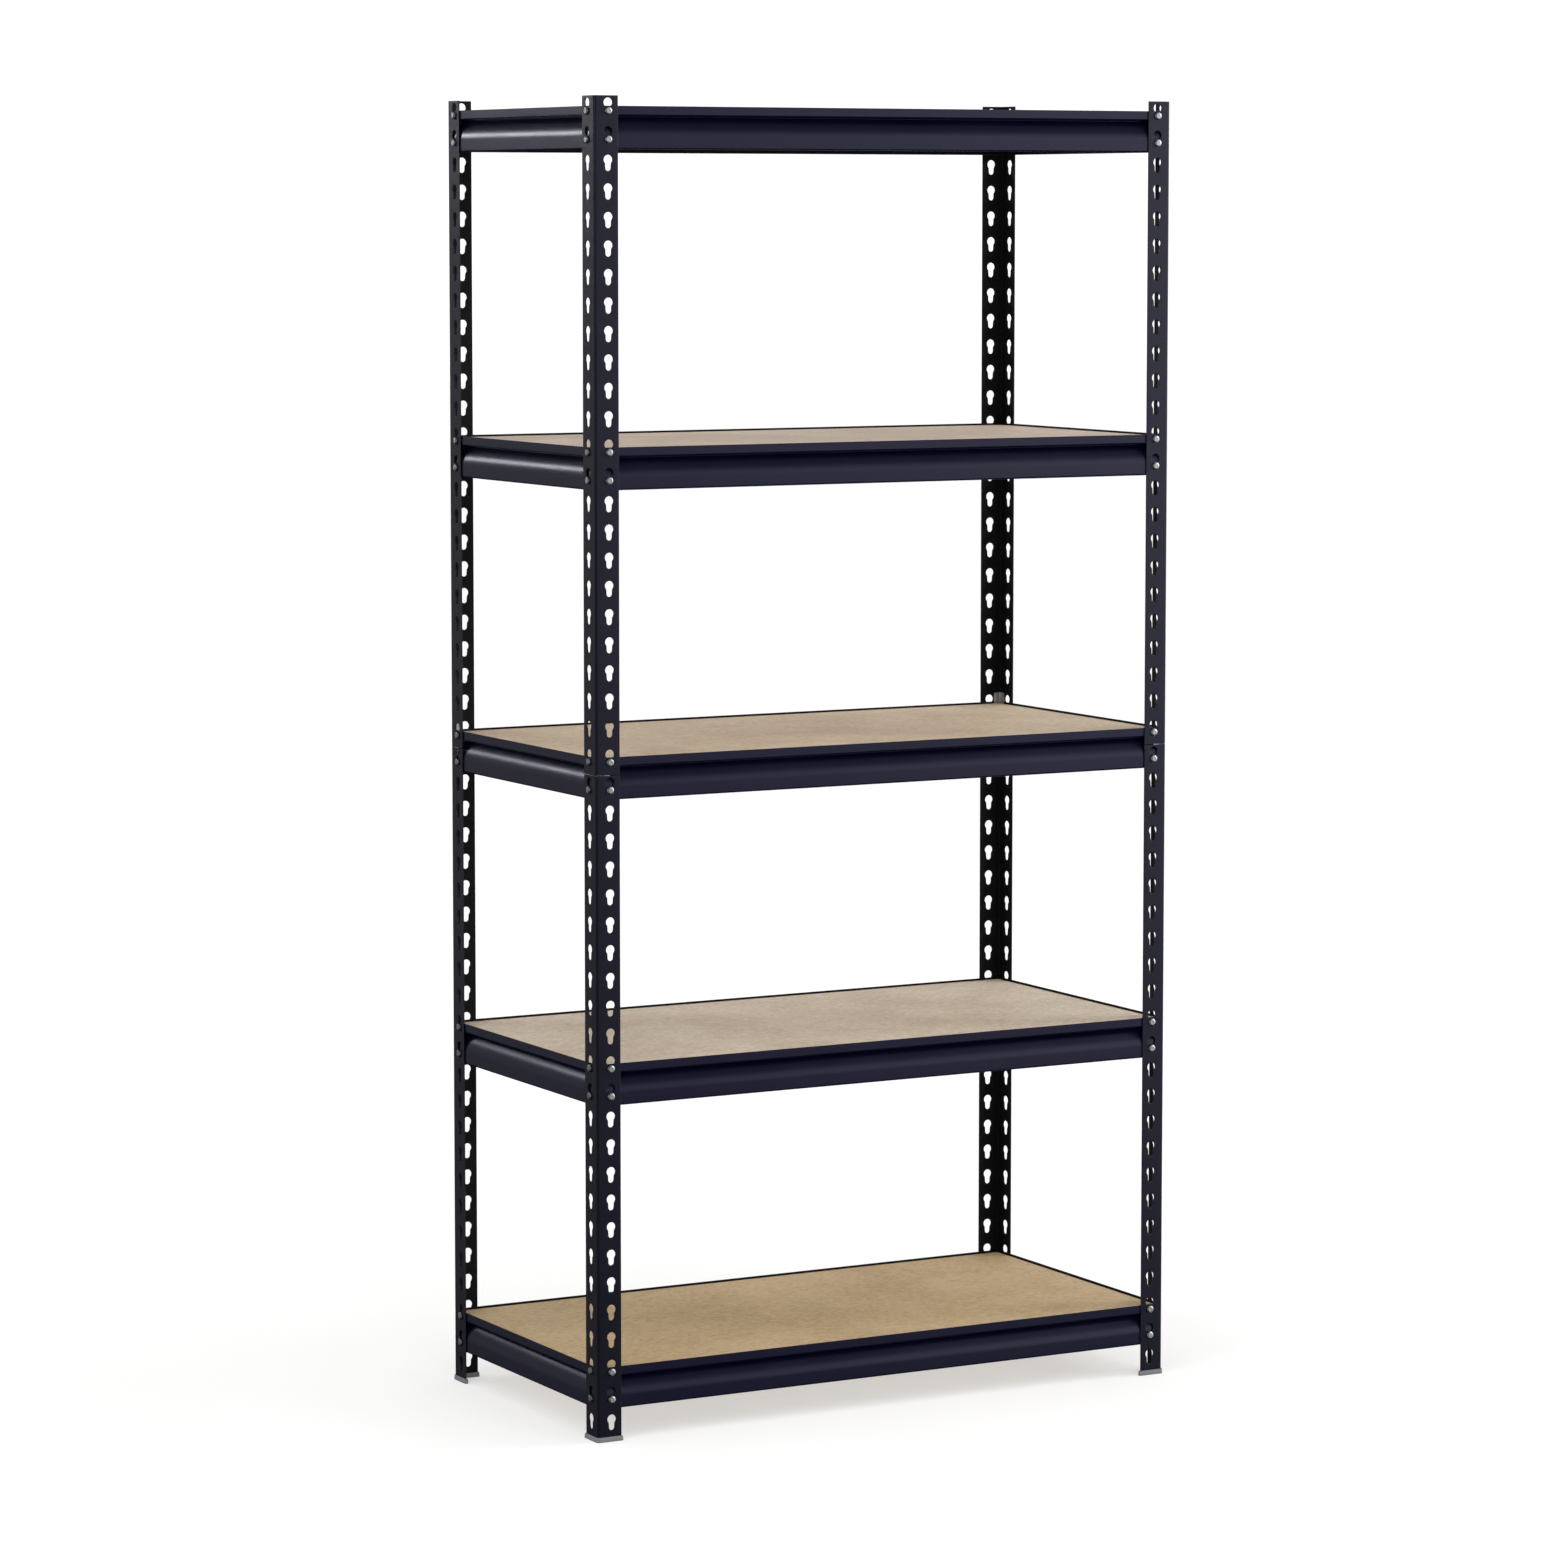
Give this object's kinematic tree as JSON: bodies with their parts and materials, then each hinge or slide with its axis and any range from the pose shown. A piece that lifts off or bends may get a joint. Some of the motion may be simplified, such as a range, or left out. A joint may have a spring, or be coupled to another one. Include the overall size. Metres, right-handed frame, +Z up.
{
  "type": "boltless steel shelving",
  "caption": "Free-standing boltless shelving: keyholed steel corner posts, riveted beams that hook into them, and loose particle board decks lying inside the beams.",
  "frame": {"origin": "on the floor under the middle of the unit", "axes": "+X to the right along the width, +Y to the back, +Z up"},
  "size_m": [0.9202, 0.463, 1.8312],
  "materials": {
    "post_steel": "satin blue-black powder coat on folded steel",
    "beam_steel": "satin blue-black powder coat on roll-formed steel",
    "rivet_zinc": "bright zinc plate",
    "coupler_zinc": "bright zinc plate",
    "foot_plastic": "moulded matt grey polyethylene",
    "particle_board": "sanded, unsealed particle board"
  },
  "bodies": {
    "frame": {"post_upper_front_left": "post_steel", "post_upper_front_right": "post_steel", "post_upper_back_right": "post_steel", "post_upper_back_left": "post_steel", "post_lower_front_left": "post_steel", "post_lower_front_right": "post_steel", "post_lower_back_right": "post_steel", "post_lower_back_left": "post_steel", "coupler_front_left": "coupler_zinc", "coupler_front_right": "coupler_zinc", "coupler_back_right": "coupler_zinc", "coupler_back_left": "coupler_zinc", "foot_front_left": "foot_plastic", "foot_front_right": "foot_plastic", "foot_back_right": "foot_plastic", "foot_back_left": "foot_plastic"},
    "level_1": {"beam_front_level_1": "beam_steel", "beam_right_level_1": "beam_steel", "beam_back_level_1": "beam_steel", "beam_left_level_1": "beam_steel", "rivets_level_1": "rivet_zinc"},
    "deck_1": {"deck_board_level_1": "particle_board"},
    "level_2": {"beam_front_level_2": "beam_steel", "beam_right_level_2": "beam_steel", "beam_back_level_2": "beam_steel", "beam_left_level_2": "beam_steel", "rivets_level_2": "rivet_zinc"},
    "deck_2": {"deck_board_level_2": "particle_board"},
    "level_3": {"beam_front_level_3": "beam_steel", "beam_right_level_3": "beam_steel", "beam_back_level_3": "beam_steel", "beam_left_level_3": "beam_steel", "rivets_level_3": "rivet_zinc"},
    "deck_3": {"deck_board_level_3": "particle_board"},
    "level_4": {"beam_front_level_4": "beam_steel", "beam_right_level_4": "beam_steel", "beam_back_level_4": "beam_steel", "beam_left_level_4": "beam_steel", "rivets_level_4": "rivet_zinc"},
    "deck_4": {"deck_board_level_4": "particle_board"},
    "level_5": {"beam_front_level_5": "beam_steel", "beam_right_level_5": "beam_steel", "beam_back_level_5": "beam_steel", "beam_left_level_5": "beam_steel", "rivets_level_5": "rivet_zinc"},
    "deck_5": {"deck_board_level_5": "particle_board"}
  },
  "joints": [
    {"name": "level_1_unhook", "type": "slide", "parent": "frame", "child": "level_1", "axis": [0, 0, 1], "range_m": [0, 0.011]},
    {"name": "level_2_unhook", "type": "slide", "parent": "frame", "child": "level_2", "axis": [0, 0, 1], "range_m": [0, 0.011]},
    {"name": "level_3_unhook", "type": "slide", "parent": "frame", "child": "level_3", "axis": [0, 0, 1], "range_m": [0, 0.011]},
    {"name": "level_4_unhook", "type": "slide", "parent": "frame", "child": "level_4", "axis": [0, 0, 1], "range_m": [0, 0.011]},
    {"name": "level_5_unhook", "type": "slide", "parent": "frame", "child": "level_5", "axis": [0, 0, 1], "range_m": [0, 0.011]},
    {"name": "deck_1_lift", "type": "slide", "parent": "level_1", "child": "deck_1", "axis": [0, 0, 1], "range_m": [0, 0.34]},
    {"name": "deck_2_lift", "type": "slide", "parent": "level_2", "child": "deck_2", "axis": [0, 0, 1], "range_m": [0, 0.34]},
    {"name": "deck_3_lift", "type": "slide", "parent": "level_3", "child": "deck_3", "axis": [0, 0, 1], "range_m": [0, 0.34]},
    {"name": "deck_4_lift", "type": "slide", "parent": "level_4", "child": "deck_4", "axis": [0, 0, 1], "range_m": [0, 0.34]},
    {"name": "deck_5_lift", "type": "slide", "parent": "level_5", "child": "deck_5", "axis": [0, 0, 1], "range_m": [0, 0.34]}
  ]
}
